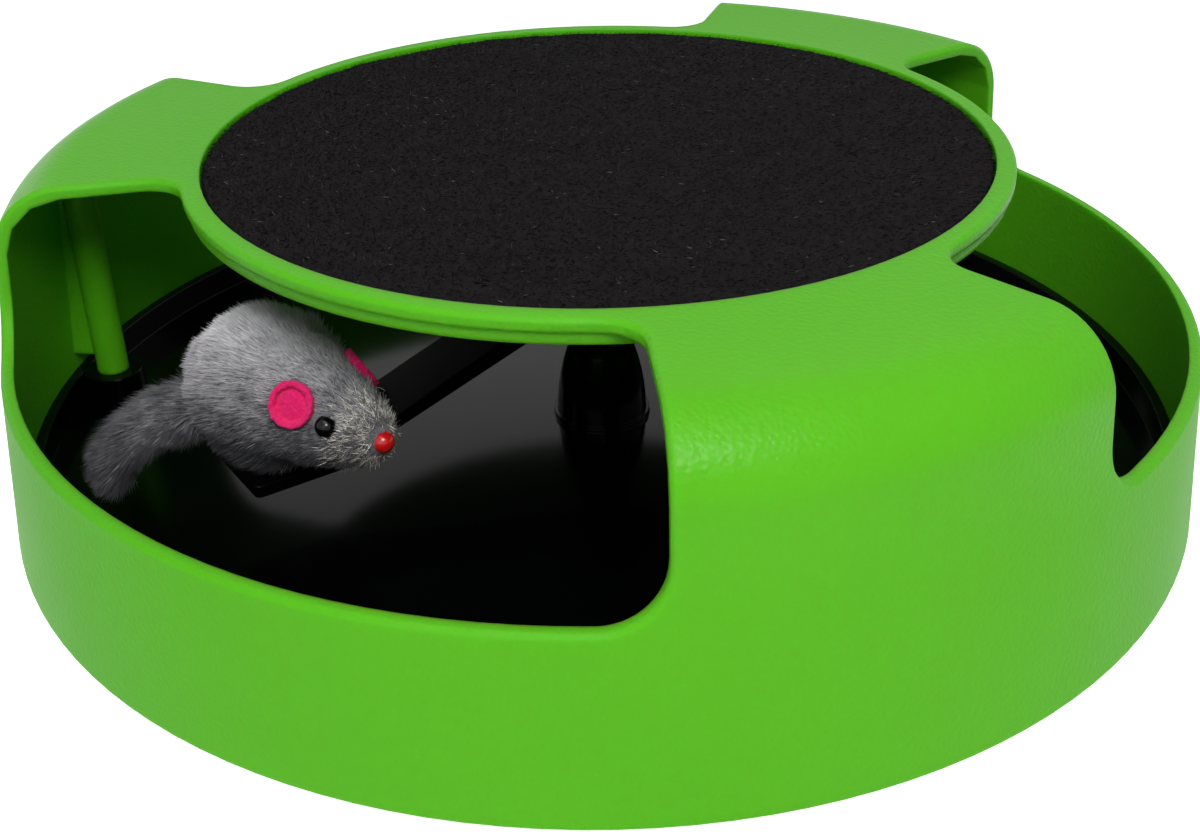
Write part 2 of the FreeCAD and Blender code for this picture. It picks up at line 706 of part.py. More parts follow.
def make_mouse():
    """Plush mouse: humped body, tapering head, flat tail, felt ears, bead eyes and nose."""
    place = mouse_place()
    length, height = number("mouse_length"), number("mouse_height")
    gap = number("bead_gap")
    sections = int(number("form_sections"))
    body = mouse_form([
        (-0.3, 0.42, 0.08), (-0.27, 0.43, 0.2), (-0.2, 0.45, 0.32), (-0.1, 0.49, 0.42),
        (0.01, 0.51, 0.455), (0.14, 0.5, 0.41), (0.21, 0.5, 0.24)], sections)
    head = mouse_form([
        (0.11, 0.5, 0.38), (0.26, 0.48, 0.37), (0.39, 0.47, 0.305), (0.52, 0.46, 0.22),
        (0.62, 0.45, 0.13), (0.675, 0.44, 0.06)], sections).cut(body)
    tail = mouse_tail().cut(body)
    plug_hole = Part.makeCylinder(number("plug_radius") + gap, number("plug_height") + gap)
    body, head = body.cut(plug_hole), head.cut(plug_hole)
    # Places of the trim as shares of the length, the height across and the height
    ear_along, ear_out, ear_up = 0.375 * length, 0.21 * height, 0.61 * height
    eye_along, eye_out, eye_up = 0.52 * length, 0.19 * height, 0.535 * height
    beads = {"nose": (Vector(0.68 * length, 0, 0.43 * height), number("nose_radius"))}
    for name, sign in (("left", 1), ("right", -1)):
        beads[name + "_eye"] = (Vector(eye_along, sign * eye_out, eye_up), number("eye_radius"))
        spot = Placement(Vector(ear_along, sign * ear_out, ear_up),
                         Rotation(Z_AXIS, Vector(0.4, sign, 0.6)))
        socket = Part.makeCylinder(number("ear_radius") + gap, number("ear_thickness"))
        socket.Placement = spot
        body, head = body.cut(socket), head.cut(socket)
        make_ear(name + "_ear", place.multiply(spot))
    for name, (centre, radius) in beads.items():
        head = head.cut(bead(radius + gap).translated(centre))
        add_form(name, bead(radius), place.multiply(Placement(centre, Rotation())))
    add_form("mouse_body", body, place)
    add_form("mouse_head", head, place)
    add_form("tail", tail, place)


def make_ear(name, spot):
    """A felt disc with a hollow front."""
    ear = new_body(name)
    rim = "(ear_radius - ear_rim)"
    revolve(ear, name + "_disc", [
        ("0", "0"), ("ear_radius", "0"), ("ear_radius", "ear_thickness"),
        (rim, "ear_thickness"), (rim, "ear_thickness / 2"), ("0", "ear_thickness / 2")])
    ear.Placement = spot


def mouse_tail():
    """A flat strip that leaves the rump, turns outwards and droops."""
    length, height = number("mouse_length"), number("mouse_height")
    turn = math.radians(number("tail_turn"))
    outward = Vector(math.cos(turn), math.sin(turn), 0)
    across = Vector(-outward.y, outward.x, 0)
    root = Vector(-0.2 * length, -0.22 * height, 0.36 * height)
    rings = []
    for share, width, thick in ((0, 0.6, 0.9), (0.3, 0.9, 1), (0.6, 1, 0.9), (0.85, 0.9, 0.7),
                                (1, 0.6, 0.4)):
        bend = math.radians(90 * share)
        centre = root + outward * (number("tail_reach") * math.sin(bend)) - Z_AXIS * (
            number("tail_drop") * (1 - math.cos(bend)))
        along = outward * math.cos(bend) - Z_AXIS * math.sin(bend)
        rings.append(oval(centre, across, along.cross(across), number("tail_width") / 2 * width,
                          number("tail_thickness") / 2 * thick))
    return form_through(rings)


def check_and_write():
    """Stops on a failed feature or shape, then writes one file for each sub-part."""
    doc.recompute()
    failed = [obj.Name for obj in doc.Objects if {"Invalid", "Error"} & set(obj.State)]
    subparts = [obj for obj in doc.Objects
                if obj.TypeId in ("PartDesign::Body", "Part::Feature")]
    failed += [obj.Label for obj in subparts if obj.Shape.isNull() or not obj.Shape.isValid()]
    if failed:
        raise RuntimeError(f"failed: {failed}")
    os.makedirs("parts", exist_ok=True)
    for obj in subparts:
        obj.Shape.exportStep(f"parts/{obj.Label}.step")
        print(obj.Label, len(obj.Shape.Solids), "solids", round(obj.Shape.Volume), "mm3")


make_cover()
make_tray()
make_feet()
make_cover_screws()
make_pad()
make_spindle()
make_rotor()
make_hub_cap()
make_counterweight()
make_mouse_fixing()
make_mouse()
check_and_write()
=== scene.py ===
import math
import bpy
from mathutils import Matrix, Vector, noise


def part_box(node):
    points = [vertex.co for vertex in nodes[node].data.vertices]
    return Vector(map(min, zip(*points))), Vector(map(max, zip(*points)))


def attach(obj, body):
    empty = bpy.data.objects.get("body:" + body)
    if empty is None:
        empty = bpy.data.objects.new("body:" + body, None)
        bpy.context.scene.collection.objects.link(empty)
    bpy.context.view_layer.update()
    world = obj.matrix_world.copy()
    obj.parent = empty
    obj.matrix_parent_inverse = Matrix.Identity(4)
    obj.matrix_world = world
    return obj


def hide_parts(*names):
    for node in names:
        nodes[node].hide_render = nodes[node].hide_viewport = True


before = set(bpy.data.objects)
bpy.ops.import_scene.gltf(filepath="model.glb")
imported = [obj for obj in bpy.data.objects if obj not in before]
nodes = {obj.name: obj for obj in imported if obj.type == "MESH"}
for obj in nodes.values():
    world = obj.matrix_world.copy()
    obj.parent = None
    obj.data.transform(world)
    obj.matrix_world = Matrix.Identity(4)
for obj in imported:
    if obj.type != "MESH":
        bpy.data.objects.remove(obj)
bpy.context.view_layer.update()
print("frame loaded:", len(nodes), "nodes")


# Node benches: a wire with operators, and one method for every other node

class Wire:
    def __init__(self, bench, socket):
        self.bench = bench
        self.socket = socket

    def maths(self, operation, *values):
        return self.bench.add("ShaderNodeMath", dict(enumerate(values)), operation=operation)

    def __add__(self, other): return self.maths("ADD", self, other)
    def __radd__(self, other): return self.maths("ADD", other, self)
    def __sub__(self, other): return self.maths("SUBTRACT", self, other)
    def __rsub__(self, other): return self.maths("SUBTRACT", other, self)
    def __mul__(self, other): return self.maths("MULTIPLY", self, other)
    def __rmul__(self, other): return self.maths("MULTIPLY", other, self)
    def __pow__(self, other): return self.maths("POWER", self, other)
    def __gt__(self, other): return self.maths("GREATER_THAN", self, other)


class Bench:
    def __init__(self, tree):
        self.tree = tree

    def add(self, kind, sockets=None, out=0, **settings):
        node = self.tree.nodes.new(kind)
        for setting, value in settings.items():
            setattr(node, setting, value)
        for name, value in (sockets or {}).items():
            self.plug(node.inputs[name], value)
        return Wire(self, node.outputs[out]) if len(node.outputs) else node

    def plug(self, socket, value):
        if isinstance(value, Wire):
            self.tree.links.new(value.socket, socket)
        else:
            socket.default_value = value

    def blendOf(self, factor, first, second):
        return self.add("ShaderNodeMix", {0: factor, 6: first, 7: second}, out=2,
                        data_type="RGBA")

    def vectorOf(self, operation, *values, out=0):
        return self.add("ShaderNodeVectorMath", dict(enumerate(values)), out=out,
                        operation=operation)

    def noiseOf(self, place, scale, detail=2, roughness=0.5, out=0):
        return self.add("ShaderNodeTexNoise", {"Vector": place, "Scale": scale, "Detail": detail,
                                               "Roughness": roughness}, out=out)

    def spread(self, value, low, high, newLow=0.0, newHigh=1.0):
        return self.add("ShaderNodeMapRange", {"Value": value, "From Min": low, "From Max": high,
                                               "To Min": newLow, "To Max": newHigh})


def screenColour(red, green, blue):
    def linear(part):
        part = part / 255
        return part / 12.92 if part <= 0.04045 else ((part + 0.055) / 1.055) ** 2.4
    return (linear(red), linear(green), linear(blue), 1)


def newFinish(name, **constants):
    material = bpy.data.materials.new(name)
    material.use_nodes = True
    bench = Bench(material.node_tree)
    shader = material.node_tree.nodes["Principled BSDF"]
    for socket, value in constants.items():
        shader.inputs[socket].default_value = value
    return material, bench, shader.inputs


def objectPlace(bench):
    return bench.add("ShaderNodeTexCoord", out=3)


def raysSeen(bench):
    rays = bench.tree.nodes.new("ShaderNodeLightPath").outputs
    return (Wire(bench, rays["Is Camera Ray"]) + Wire(bench, rays["Is Glossy Ray"])
            + Wire(bench, rays["Is Transmission Ray"]))


# Finishes

greens = {"plain": (89, 178, 24), "deep": (83, 172, 18), "pale": (104, 186, 40),
          "cloudScale": 9, "speckScale": 420, "speckStrength": 0.25, "smudgeScale": 34,
          "dullness": 0.44, "smudged": 0.14, "polish": 0.17,
          "shoulderLow": 0.036, "shoulderHigh": 0.05, "top": 0.0665, "topFade": 0.001,
          "grainScale": 1150, "grainDepth": 0.00022, "grainStrength": 0.5, "edge": 0.0009}


def makeGreenPlastic():
    material, bench, shader = newFinish("greenPlastic", **{
        "IOR": 1.46, "Specular IOR Level": 0.16, "Subsurface Weight": 0.5,
        "Subsurface Radius": (0.15, 1, 0.06), "Subsurface Scale": 0.006})
    place = objectPlace(bench)
    clouds = bench.noiseOf(place, greens["cloudScale"], 3)
    specks = bench.noiseOf(place, greens["speckScale"], 2)
    colour = bench.blendOf(bench.spread(clouds, 0.35, 0.65), screenColour(*greens["deep"]),
                           screenColour(*greens["plain"]))
    colour = bench.blendOf(bench.spread(specks, 0.7, 0.8, 0, greens["speckStrength"]), colour,
                           screenColour(*greens["pale"]))
    bench.plug(shader["Base Color"], colour)
    smudges = bench.noiseOf(place, greens["smudgeScale"], 4, 0.6)
    # The rounded shoulder is rubbed smooth, the flats keep their dull grain
    height = bench.add("ShaderNodeSeparateXYZ", {0: place}, out=2)
    rubbed = (bench.spread(height, greens["shoulderLow"], greens["shoulderHigh"])
              * bench.spread(height, greens["top"], greens["top"] - greens["topFade"]))
    bench.plug(shader["Roughness"], greens["dullness"] + greens["smudged"] * smudges
               - greens["polish"] * rubbed)
    pebbles = bench.add("ShaderNodeTexVoronoi", {"Vector": place, "Scale": greens["grainScale"]},
                        feature="SMOOTH_F1")
    soft = bench.add("ShaderNodeBevel", {"Radius": greens["edge"]}, samples=6)
    grain = bench.add("ShaderNodeBump", {"Height": pebbles, "Strength": greens["grainStrength"],
                                         "Distance": greens["grainDepth"], "Normal": soft})
    bench.plug(shader["Normal"], grain)
    return material


blacks = {"plain": (3, 3, 4), "dust": (60, 60, 62), "fluffScale": 900, "patchScale": 22,
          "patchy": 0.06, "dusty": 0.3, "edge": 0.0005, "waveScale": 60,
          "waveStrength": 0.06, "waveDepth": 0.0004}


def makeBlackPlastic(name, roughness, dust, gloss, sag):
    material, bench, shader = newFinish(name, **{"IOR": 1.5, "Specular IOR Level": gloss})
    place = objectPlace(bench)
    fluff = bench.noiseOf(place, blacks["fluffScale"], 3, 0.7)
    patches = bench.noiseOf(place, blacks["patchScale"], 4, 0.6)
    shown = bench.spread(fluff, 0.62, 0.78) * bench.spread(patches, 0.45, 0.7, 0, dust)
    bench.plug(shader["Base Color"], bench.blendOf(shown, screenColour(*blacks["plain"]),
                                                   screenColour(*blacks["dust"])))
    bench.plug(shader["Roughness"],
               roughness + blacks["patchy"] * patches + blacks["dusty"] * shown)
    soft = bench.add("ShaderNodeBevel", {"Radius": blacks["edge"]}, samples=4)
    waves = bench.noiseOf(place, blacks["waveScale"], 2)
    bump = bench.add("ShaderNodeBump", {"Height": waves, "Strength": blacks["waveStrength"],
                                        "Distance": blacks["waveDepth"], "Normal": soft})
    # A broad, very low dome in a moulded floor, which bends what it reflects
    across = bench.vectorOf("MULTIPLY", place, (1, 1, 0))
    away = bench.vectorOf("LENGTH", across, out=1)
    dome = bench.add("ShaderNodeBump", {"Height": away ** 2 * -sag, "Strength": 1.0,
                                        "Distance": 1.0, "Normal": bump})
    bench.plug(shader["Normal"], dome)
    return material


def coatSurface(bench, shader, pattern, tone, colours, roughness, bump):
    dark, light = colours
    plain, change = roughness
    strength, depth = bump
    bench.plug(shader["Base Color"], bench.blendOf(tone, screenColour(*dark),
                                                   screenColour(*light)))
    bench.plug(shader["Roughness"], plain + change * pattern)
    bench.plug(shader["Normal"], bench.add("ShaderNodeBump", {
        "Height": pattern, "Strength": strength, "Distance": depth}))


def makeSmallFinish(name, dark, light, roughness, metal=0.0):
    material, bench, shader = newFinish(name, **{"Metallic": metal})
    mottle = bench.noiseOf(objectPlace(bench), 300, 4, 0.6)
    coatSurface(bench, shader, mottle, bench.spread(mottle, 0.35, 0.7), (dark, light),
                (roughness, 0.18), (0.15, 0.0002))
    return material


def makeFelt(name, dark, light, scale, depth, sheen):
    material, bench, shader = newFinish(name, **{"Sheen Weight": sheen, "Sheen Roughness": 0.5,
                                                 "Specular IOR Level": 0.08})
    place = objectPlace(bench)
    hairs = bench.noiseOf(place, scale, 5, 0.75)
    clumps = bench.noiseOf(place, scale * 0.12, 3, 0.6)
    tone = bench.spread(hairs, 0.38, 0.68, 0, 0.7) + bench.spread(clumps, 0.35, 0.7, 0, 0.3)
    coatSurface(bench, shader, hairs, tone, (dark, light), (0.8, 0.15), (0.7, depth))
    return material


# Painted light and shade on the strands: by height in object coordinates, strands low down are
# painted darker and strands high up lighter, standing in for how the light falls on the mouse
strandTones = {"paintedHeightShadeFrom": 0.026, "paintedHeightShadeTo": 0.053, "paintedShadeFoot": 1.25, "alongStrand": 0.65,
               "tuftScale": 260, "fleckAbove": 0.485}


def makeStrandFinish(name, root, tip, fleck, look):
    material, bench, shader = newFinish(name, **{"Sheen Weight": look["sheen"],
                                                 "Roughness": 0.85,
                                                 "Specular IOR Level": look["gloss"]})
    along = bench.add("ShaderNodeAttribute", out=2, attribute_name="alongStrand")
    shade = bench.add("ShaderNodeAttribute", out=2, attribute_name="strandShade")
    place = objectPlace(bench)
    tufts = bench.noiseOf(place, strandTones["tuftScale"], 3, 0.6)
    height = bench.add("ShaderNodeSeparateXYZ", {0: place}, out=2)
    # Painted light and shade: the height term darkens strands towards the bottom (the shaded flank
    # and tail) and lightens them towards the top (the lit hump)
    tone = (along * strandTones["alongStrand"] + shade * look["contrast"]
            + bench.spread(tufts, 0.3, 0.7, -look["mottle"], look["mottle"])
            + bench.spread(height, strandTones["paintedHeightShadeFrom"], strandTones["paintedHeightShadeTo"],
                           -strandTones["paintedShadeFoot"] * look["paintedHeightShade"], look["paintedHeightShade"]))
    colour = bench.blendOf(tone, screenColour(*root), screenColour(*tip))
    flecks = (shade > strandTones["fleckAbove"]) * look["flecked"]
    bench.plug(shader["Base Color"], bench.blendOf(flecks, colour, screenColour(*fleck)))
    return material


def makeBeadFinish(name, dark, light, gloss, roughness):
    material, bench, shader = newFinish(name, **{"Specular IOR Level": gloss})
    swirl = bench.noiseOf(objectPlace(bench), 700, 3, 0.6)
    coatSurface(bench, shader, swirl, bench.spread(swirl, 0.35, 0.75), (dark, light),
                (roughness, 0.04), (0.1, 0.0001))
    return material


finishes = {
    "green_plastic": makeGreenPlastic(),
    "black_gloss_plastic": makeBlackPlastic("glossBlack", 0.09, 0.2, 0.14, 0.35),
    "black_satin_plastic": makeBlackPlastic("satinBlack", 0.28, 0.25, 0.12, 0.0),
    "foot_rubber": makeSmallFinish("footRubber", (34, 34, 35), (46, 46, 46), 0.7),
    "zinc_steel": makeSmallFinish("zincSteel", (176, 178, 180), (200, 200, 196), 0.25, 1.0),
    "adhesive_sheet": makeSmallFinish("adhesiveSheet", (196, 190, 170), (214, 208, 190), 0.5),
    "acetal": makeSmallFinish("acetal", (222, 220, 212), (234, 232, 226), 0.35),
    "carpet": makeFelt("carpetFelt", (12, 10, 11), (30, 27, 29), 1500, 0.0006, 0.0),
    "grey_fur": makeFelt("furBacking", (84, 84, 90), (128, 128, 134), 1800, 0.0003, 0.2),
    "pink_felt": makeFelt("pinkFelt", (214, 16, 92), (240, 52, 124), 1700, 0.0003, 0.1),
    "black_bead": makeBeadFinish("blackBead", (5, 5, 6), (12, 11, 11), 0.25, 0.02),
    "red_bead": makeBeadFinish("redBead", (176, 14, 18), (216, 30, 30), 0.5, 0.15),
}
for node in nodes.values():
    for place in node.material_slots:
        place.material = finishes[place.material.name.split(".")[0]]
print("finishes made:", len(finishes))


# Hands-on helpers

def deselectAll():
    if bpy.context.object and bpy.context.object.mode != "OBJECT":
        bpy.ops.object.mode_set(mode="OBJECT")
    bpy.ops.object.select_all(action="DESELECT")


def started(name):
    piece = bpy.context.object
    piece.name = name
    piece.data.name = name
    return piece


def pickFaces(piece, wanted):
    bpy.ops.object.mode_set(mode="EDIT")
    bpy.ops.mesh.select_mode(type="FACE")
    bpy.ops.mesh.select_all(action="DESELECT")
    bpy.ops.object.mode_set(mode="OBJECT")
    for face in piece.data.polygons:
        face.select = wanted(face)
    bpy.ops.object.mode_set(mode="EDIT")


def useModifier(piece, kind, **settings):
    bpy.context.view_layer.objects.active = piece
    modifier = piece.modifiers.new(kind.lower(), kind)
    for setting, value in settings.items():
        setattr(modifier, setting, value)
    bpy.ops.object.modifier_apply(modifier=modifier.name)


# Extruding and spinning number their points differently in each run, and the strands'
# draws follow those numbers, so the points and faces are put in order of their places
def putInOrder(piece):
    drawn = piece.data
    name = drawn.name
    spots = [tuple(vertex.co) for vertex in drawn.vertices]
    ordered = sorted(range(len(spots)), key=spots.__getitem__)
    rank = {vertex: number for number, vertex in enumerate(ordered)}
    faces = []
    for face in drawn.polygons:
        corners = [rank[vertex] for vertex in face.vertices]
        first = corners.index(min(corners))
        faces.append(corners[first:] + corners[:first])
    piece.data = bpy.data.meshes.new(name)
    piece.data.from_pydata([spots[vertex] for vertex in ordered], [], sorted(faces))
    bpy.data.meshes.remove(drawn)
    piece.data.name = name


def finishPiece(piece, place, slot, node, body):
    bpy.ops.object.mode_set(mode="OBJECT")
    piece.data.transform(place @ piece.matrix_world)
    piece.matrix_world = Matrix.Identity(4)
    piece.data.materials.clear()
    piece.data.materials.append(finishes[slot])
    piece.data.shade_smooth()
    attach(piece, body)
    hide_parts(node)


# Strands: blades set over a skin, for the plush and for the carpet's pile

strands = {"rootDepth": -0.08, "rootHalfWidth": 0.5, "waistHeight": 0.5,
           "waistHalfWidth": 0.42, "waistBend": 0.3, "size": (0.6, 1.15),
           "patchSize": (0.8, 1.15), "fade": 0.55}


def makeBlade(bend):
    root, low = strands["rootHalfWidth"], strands["rootDepth"]
    waist, up = strands["waistHalfWidth"], strands["waistHeight"]
    reach = bend * strands["waistBend"]
    deselectAll()
    bpy.ops.mesh.primitive_plane_add(size=1, location=(0, 0, 0))
    blade = started("blade")
    mesh = bpy.data.meshes.new("blade")
    mesh.from_pydata([(0, -root, low), (0, root, low), (reach, -waist, up),
                      (reach, waist, up), (bend, 0, 1)], [], [(0, 1, 3, 2), (2, 3, 4)])
    blade.data = mesh
    along = mesh.attributes.new("alongStrand", "FLOAT", "POINT")
    along.data.foreach_set("value", [0, 0, up, up, 1])
    return blade


def growStrands(name, skin, coat, finish, clear=(), only=None):
    deselectAll()
    blade = makeBlade(coat["bend"])
    pile = skin.copy()
    pile.data = skin.data.copy()
    pile.name = pile.data.name = name
    for key in list(pile.keys()):
        if key.startswith("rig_"):
            del pile[key]
    bpy.context.scene.collection.objects.link(pile)
    tree = bpy.data.node_groups.new(name, "GeometryNodeTree")
    for way in ("INPUT", "OUTPUT"):
        tree.interface.new_socket("Geometry", in_out=way, socket_type="NodeSocketGeometry")
    bench = Bench(tree)
    ground = bench.add("NodeGroupInput")
    place = bench.add("GeometryNodeInputPosition")
    keep = 1.0
    for centre, radius in clear:
        away = bench.vectorOf("DISTANCE", place, tuple(centre), out=1)
        keep = (away > radius) * keep
    if only:
        centre, radius = only
        near = bench.vectorOf("DISTANCE", place, tuple(centre), out=1)
        keep = bench.spread(near, radius, radius * strands["fade"]) * keep
    area = sum(face.area for face in pile.data.polygons)
    density = keep * (coat["count"] / area)
    scatter = bench.tree.nodes.new("GeometryNodeDistributePointsOnFaces")
    scatter.distribute_method = "RANDOM"
    bench.plug(scatter.inputs["Mesh"], ground)
    bench.plug(scatter.inputs["Density"], density)
    scatter.inputs["Seed"].default_value = coat["seed"]
    normal = Wire(bench, scatter.outputs["Normal"])
    tufts = bench.vectorOf("SUBTRACT", bench.noiseOf(place, coat["tuftScale"], 1, out=1),
                           (0.5, 0.5, 0.5))
    random = bench.add("FunctionNodeRandomValue", {0: (-1, -1, -1), 1: (1, 1, 1), 8: coat["seed"]},
                       data_type="FLOAT_VECTOR")
    lean = bench.vectorOf("MULTIPLY_ADD", normal, (coat["lift"],) * 3, tuple(coat["flow"]))
    lean = bench.vectorOf("MULTIPLY_ADD", tufts, (coat["tuft"],) * 3, lean)
    lean = bench.vectorOf("NORMALIZE", bench.vectorOf("MULTIPLY_ADD", random,
                                                      (coat["stray"],) * 3, lean))
    upright = bench.add("FunctionNodeAlignRotationToVector", {"Vector": lean}, axis="Z")
    turned = bench.add("FunctionNodeAlignRotationToVector",
                       {"Rotation": upright, "Vector": tuple(coat["flow"])},
                       axis="X", pivot_axis="Z")
    smallest, largest = strands["size"]
    size = bench.add("FunctionNodeRandomValue", {2: smallest, 3: largest, 8: coat["seed"] + 1},
                     out=1, data_type="FLOAT")
    patch = bench.spread(bench.noiseOf(place, coat["tuftScale"] * 0.5, 1), 0.3, 0.7,
                         *strands["patchSize"])
    tall = size * patch * coat["length"]
    scale = bench.add("ShaderNodeCombineXYZ", {0: tall, 1: coat["width"], 2: tall})
    shade = bench.add("FunctionNodeRandomValue", {2: -0.5, 3: 0.5, 8: coat["seed"] + 2}, out=1,
                      data_type="FLOAT")
    points = bench.add("GeometryNodeStoreNamedAttribute",
                       {"Geometry": Wire(bench, scatter.outputs["Points"]),
                        "Name": "strandShade", "Value": shade}, data_type="FLOAT",
                       domain="POINT")
    strand = bench.add("GeometryNodeObjectInfo", {"Object": blade}, out=4)
    grown = bench.add("GeometryNodeInstanceOnPoints",
                      {"Points": points, "Instance": strand, "Rotation": turned,
                       "Scale": scale})
    bench.add("NodeGroupOutput", {0: bench.add("GeometryNodeRealizeInstances",
                                               {"Geometry": grown})})
    bpy.context.view_layer.objects.active = pile
    growth = pile.modifiers.new("growth", "NODES")
    growth.node_group = tree
    bpy.ops.object.modifier_apply(modifier="growth")
    pile.data.materials.clear()
    pile.data.materials.append(finish)
    bpy.data.objects.remove(blade)
    print(name, len(pile.data.polygons), "faces")
    return pile


# Carpet disc

carpet = {"rim": 0.0009, "rings": 34, "sides": 160, "wave": 0.00028, "waveScale": 160,
          "sunk": 0.0004, "worn": 0.0002, "wornWidth": 0.002, "topDepth": 0.0012,
          "pile": {"count": 52000, "length": 0.0011, "width": 0.00014, "lift": 0.55,
                   "flow": (0.05, 0.02, 0), "tuft": 1.6, "tuftScale": 420, "stray": 0.9,
                   "bend": 0.5, "seed": 4}}


def makeCarpet():
    low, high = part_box("scratch_pad")
    radius = (high.x - low.x) / 2
    deselectAll()
    bpy.ops.mesh.primitive_cylinder_add(vertices=carpet["sides"], radius=radius,
                                        depth=high.z - low.z - carpet["sunk"],
                                        location=(0, 0, (high.z + low.z) / 2
                                                  - carpet["sunk"] / 2))
    pad = started("carpetPad")
    pickFaces(pad, lambda face: face.normal.z > 0.9)
    bpy.ops.mesh.bevel(offset=carpet["rim"], segments=3)
    pickFaces(pad, lambda face: face.normal.z > 0.9 and len(face.vertices) > 4)
    step = (radius - carpet["rim"]) / (carpet["rings"] + 1)
    for ring in range(carpet["rings"]):
        bpy.ops.mesh.inset(thickness=step)
    bpy.ops.mesh.poke()
    bpy.ops.object.mode_set(mode="OBJECT")
    for vertex in pad.data.vertices:
        spot = pad.matrix_world @ vertex.co
        if spot.z > high.z - carpet["topDepth"]:
            lift = noise.fractal(spot * carpet["waveScale"], 0.7, 2.0, 4)
            inward = radius - Vector((spot.x, spot.y)).length
            edge = max(0.0, 1 - inward / carpet["wornWidth"])
            vertex.co.z += carpet["wave"] * lift - carpet["worn"] * edge
    finishPiece(pad, Matrix.Identity(4), "carpet", "scratch_pad", "housing")
    top = pad.copy()
    top.data = pad.data.copy()
    bpy.context.scene.collection.objects.link(top)
    deselectAll()
    top.select_set(True)
    bpy.context.view_layer.objects.active = top
    pickFaces(top, lambda face: face.center.z < high.z - carpet["topDepth"] - carpet["sunk"])
    bpy.ops.mesh.delete(type="FACE")
    bpy.ops.object.mode_set(mode="OBJECT")
    pile = growStrands("carpetPile", top, carpet["pile"], pileFinish)
    bpy.data.objects.remove(top)
    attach(pile, "housing")


pileFinish = makeStrandFinish("carpetHairs", (5, 3, 4), (31, 29, 30), (116, 110, 112),
                              {"sheen": 0.0, "gloss": 0.03, "contrast": 0.8, "mottle": 0.5,
                               "paintedHeightShade": 0.0, "flecked": 0.9})
makeCarpet()
print("carpet made")


# Plush mouse, shaped in its own frame with the nose along x, then set on the seat

mouse = {"length": 0.046, "height": 0.033, "fromAxis": 0.077, "seatTop": 0.019,
         "rotorTurn": 251, "heading": 358, "skinDepth": 0.0016, "leastRadius": 0.0008,
         "sides": 28, "furFall": 0.2,
         "body": [(-0.305, 0.42, 0.05), (-0.275, 0.43, 0.22), (-0.2, 0.455, 0.335),
                  (-0.1, 0.49, 0.43), (0.01, 0.51, 0.465), (0.14, 0.5, 0.43),
                  (0.24, 0.485, 0.36), (0.3, 0.48, 0.2)],
         "head": [(0.08, 0.49, 0.2), (0.14, 0.5, 0.345), (0.22, 0.5, 0.4),
                  (0.32, 0.495, 0.375), (0.42, 0.475, 0.33), (0.52, 0.455, 0.275),
                  (0.61, 0.44, 0.21), (0.665, 0.43, 0.155), (0.69, 0.43, 0.09)],
         "bellyReach": 0.011, "bellyShare": 0.4, "bellyPress": 1.6, "bellyGap": 0.0004,
         "earPlace": (0.375, 0.21, 0.61), "earLean": (0.4, 1, 0.6), "earProud": 0.0009,
         "eyePlace": (0.52, 0.19, 0.535), "nosePlace": (0.68, 0, 0.43),
         "earRadius": 0.0043, "eyeRadius": 0.0021, "noseRadius": 0.0021,
         "earClear": 1.09, "eyeClear": 1.25, "noseClear": 1.2,
         "eyeForward": 0.4, "eyeUp": 0.35, "noseLook": (1, 0, 0.1),
         "snoutPlace": (0.66, 0, 0.44), "snoutReach": 0.011}
tail = {"root": (-0.2, -0.22, 0.36), "turn": 238, "reach": 0.019, "drop": 0.013,
        "width": 0.0135, "thickness": 0.0055, "sides": 16, "furFall": 0.8,
        "stations": [(0, 0.9), (0.15, 1), (0.3, 1), (0.6, 0.9), (0.85, 0.7), (1, 0.4)]}
seatTurn = math.radians(mouse["rotorTurn"])
mousePlace = (Matrix.Translation((mouse["fromAxis"] * math.cos(seatTurn),
                                  mouse["fromAxis"] * math.sin(seatTurn), mouse["seatTop"]))
              @ Matrix.Rotation(math.radians(mouse["heading"]), 4, "Z"))
backward = mousePlace.to_3x3() @ Vector((-1, 0, -mouse["furFall"]))
tailTurn = math.radians(tail["turn"])
tailward = mousePlace.to_3x3() @ Vector((math.cos(tailTurn), math.sin(tailTurn),
                                         -tail["furFall"]))
coats = {
    "bodyFur": {"count": 60000, "length": 0.0032, "width": 0.00014, "lift": 0.75,
                "flow": backward * 0.75, "tuft": 0.7, "tuftScale": 330, "stray": 0.28,
                "bend": 0.25, "seed": 11},
    "headFur": {"count": 42000, "length": 0.0022, "width": 0.00013, "lift": 0.6,
                "flow": backward * 0.8, "tuft": 0.7, "tuftScale": 520, "stray": 0.32,
                "bend": 0.25, "seed": 21},
    "snoutFur": {"count": 46000, "length": 0.001, "width": 0.00018, "lift": 0.7,
                 "flow": backward * 0.4, "tuft": 2.4, "tuftScale": 1300, "stray": 1.0,
                 "bend": 1.9, "seed": 41},
    "tailFur": {"count": 34000, "length": 0.0042, "width": 0.00016, "lift": 0.8,
                "flow": tailward * 0.6, "tuft": 1.1, "tuftScale": 330, "stray": 0.3,
                "bend": 0.3, "seed": 31},
}


def mouseSpot(shares, side=1):
    along, out, up = shares
    return Vector((along * mouse["length"], side * out * mouse["height"],
                   up * mouse["height"]))


